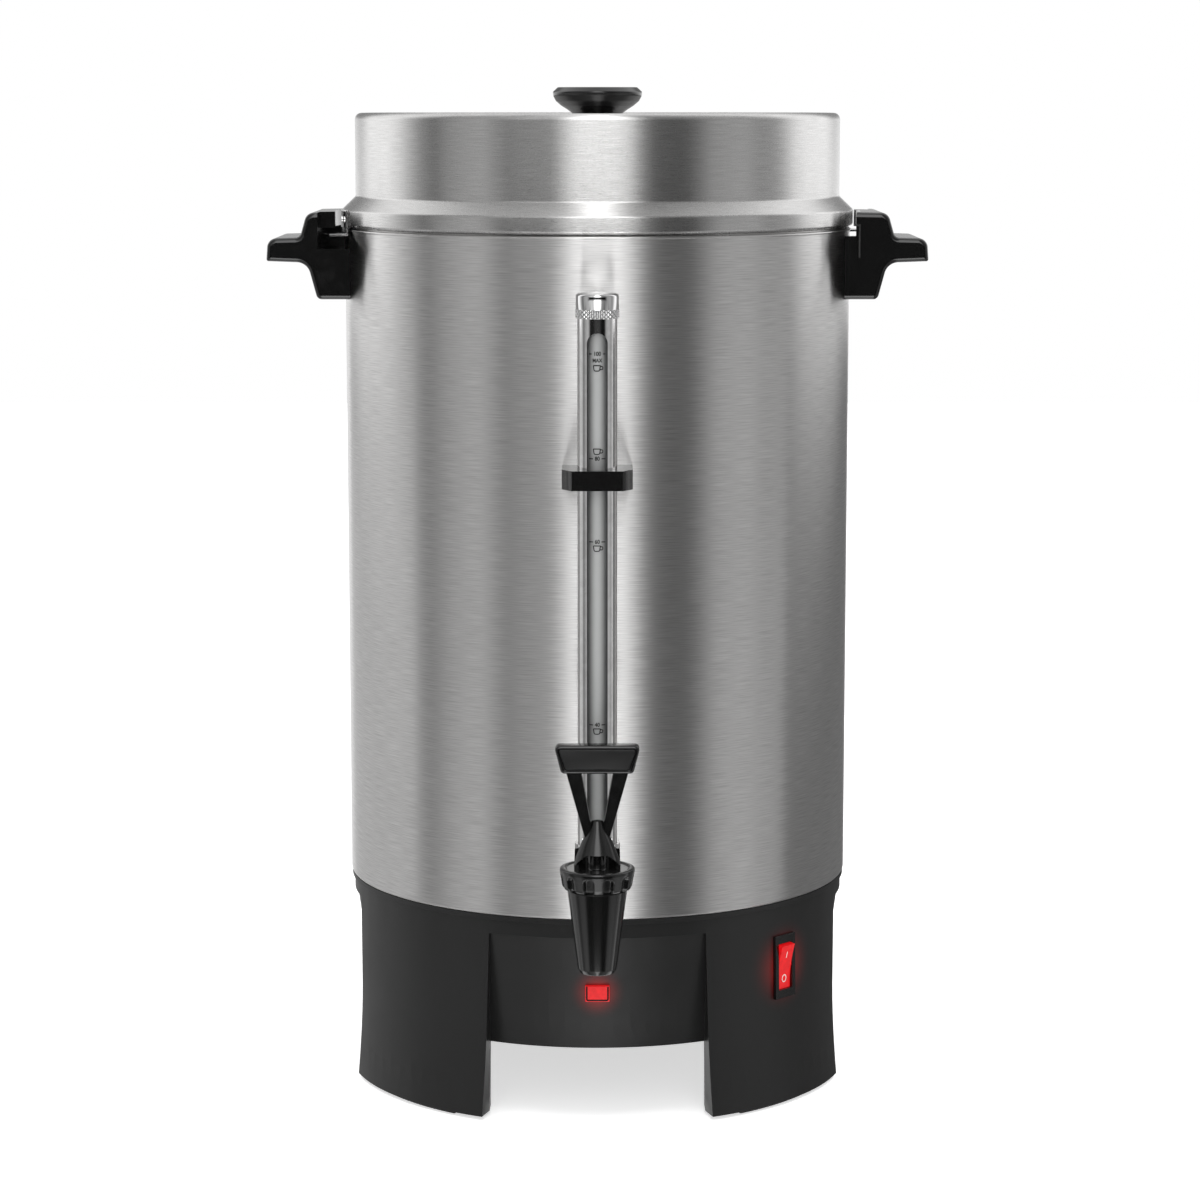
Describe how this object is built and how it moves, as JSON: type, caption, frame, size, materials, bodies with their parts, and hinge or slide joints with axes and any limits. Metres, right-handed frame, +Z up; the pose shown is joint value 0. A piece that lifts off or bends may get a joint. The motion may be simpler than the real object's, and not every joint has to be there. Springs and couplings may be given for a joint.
{
  "type": "coffee urn",
  "caption": "Tall electric percolator urn: steel tank with twist-lock lid, side handles, sight gauge, lever tap and a black four-legged base with lit rocker switch",
  "frame": {"origin": "on the table plane, at the axis of the tank", "axes": "+Z up along the tank's axis, -Y is the front with the tap, +X is the user's right"},
  "size_m": [0.3364, 0.3245, 0.513],
  "materials": {
    "brushed_tank": "brushed",
    "brushed_lid": "brushed",
    "plain_steel": "satin",
    "bright_steel": "polished",
    "zinc_steel": "plated",
    "gloss_black": "gloss",
    "satin_black": "satin",
    "rubber_black": "matte",
    "silicone": "matte",
    "brass_nickel": "plated",
    "chrome": "polished",
    "clear_glass": "clear",
    "red_lens": "gloss",
    "cast_heater": "cast",
    "aluminium": "satin",
    "white_ceramic": "matte",
    "wire_red": "matte"
  },
  "bodies": {
    "urn": {"base_bottom_cover": "satin_black", "base_housing": "satin_black", "base_screws": "zinc_steel", "brew_heater": "cast_heater", "cord_gland": "satin_black", "faucet_body": "gloss_black", "faucet_bonnet": "gloss_black", "faucet_spring": "plain_steel", "foot_pads": "rubber_black", "gauge_bottom_seal": "silicone", "gauge_cap": "chrome", "gauge_clip": "gloss_black", "gauge_clip_screw": "zinc_steel", "gauge_glass": "clear_glass", "gauge_guard": "chrome", "gauge_nut": "chrome", "gauge_socket": "chrome", "gauge_top_seal": "silicone", "handle_backing_plates": "plain_steel", "handle_left": "gloss_black", "handle_right": "gloss_black", "handle_screws": "zinc_steel", "indicator_lamp": "clear_glass", "indicator_lens": "red_lens", "keep_warm_heater": "plain_steel", "lid_catch_clip": "bright_steel", "shank_nut": "brass_nickel", "shank_washers": "silicone", "switch_body": "satin_black", "switch_terminals": "brass_nickel", "tank_shell": "brushed_tank", "terminal_block": "white_ceramic", "thermal_fuse": "zinc_steel", "thermostat": "plain_steel", "wiring_harness": "wire_red"},
    "lid_carrier": {"lid_locating_ring": "plain_steel"},
    "lid": {"lid_shell": "brushed_lid", "lid_knob": "gloss_black", "lid_knob_screw": "zinc_steel", "lid_tab_left": "bright_steel", "lid_tab_right": "bright_steel", "lid_rivets": "bright_steel"},
    "tap_stem": {"faucet_stem": "plain_steel", "faucet_seat_cup": "silicone", "faucet_lever_pin": "plain_steel"},
    "tap_lever": {"faucet_lever": "gloss_black"},
    "rocker": {"switch_rocker": "red_lens"},
    "percolator": {"pump_base": "aluminium", "pump_stem": "aluminium", "coffee_basket": "aluminium", "basket_lid": "aluminium"},
    "pump_valve": {"pump_valve_disc": "plain_steel"}
  },
  "joints": [
    {"name": "lid_lift", "type": "slide", "parent": "urn", "child": "lid_carrier", "axis": [0, 0, 1], "range_m": [0, 0.12]},
    {"name": "lid_twist", "type": "hinge", "parent": "lid_carrier", "child": "lid", "pos_m": [0, 0, 0.442], "axis": [0, 0, -1], "range_deg": [0, 20]},
    {"name": "stem_lift", "type": "slide", "parent": "urn", "child": "tap_stem", "axis": [0, 0, 1], "range_m": [0, 0.0032], "deforming": ["faucet_spring"]},
    {"name": "lever_tilt", "type": "hinge", "parent": "tap_stem", "child": "tap_lever", "pos_m": [0, -0.175, 0.1565], "axis": [1, 0, 0], "range_deg": [0, 25], "stiffness_Nm_per_rad": 0.4, "springref_deg": -2.86},
    {"name": "rocker_tilt", "type": "hinge", "parent": "urn", "child": "rocker", "pos_m": [0.09393, -0.08698, 0.07226], "axis": [-0.6794, -0.7337, 0], "range_deg": [0, 18]},
    {"name": "pump_lift", "type": "slide", "parent": "urn", "child": "percolator", "axis": [0, 0, 1], "range_m": [0, 0.02]},
    {"name": "valve_lift", "type": "slide", "parent": "percolator", "child": "pump_valve", "axis": [0, 0, 1], "range_m": [0, 0.002]}
  ],
  "couplings": [
    {"joint": "lever_tilt", "follows": "stem_lift", "rad_per_m": 136.35}
  ]
}
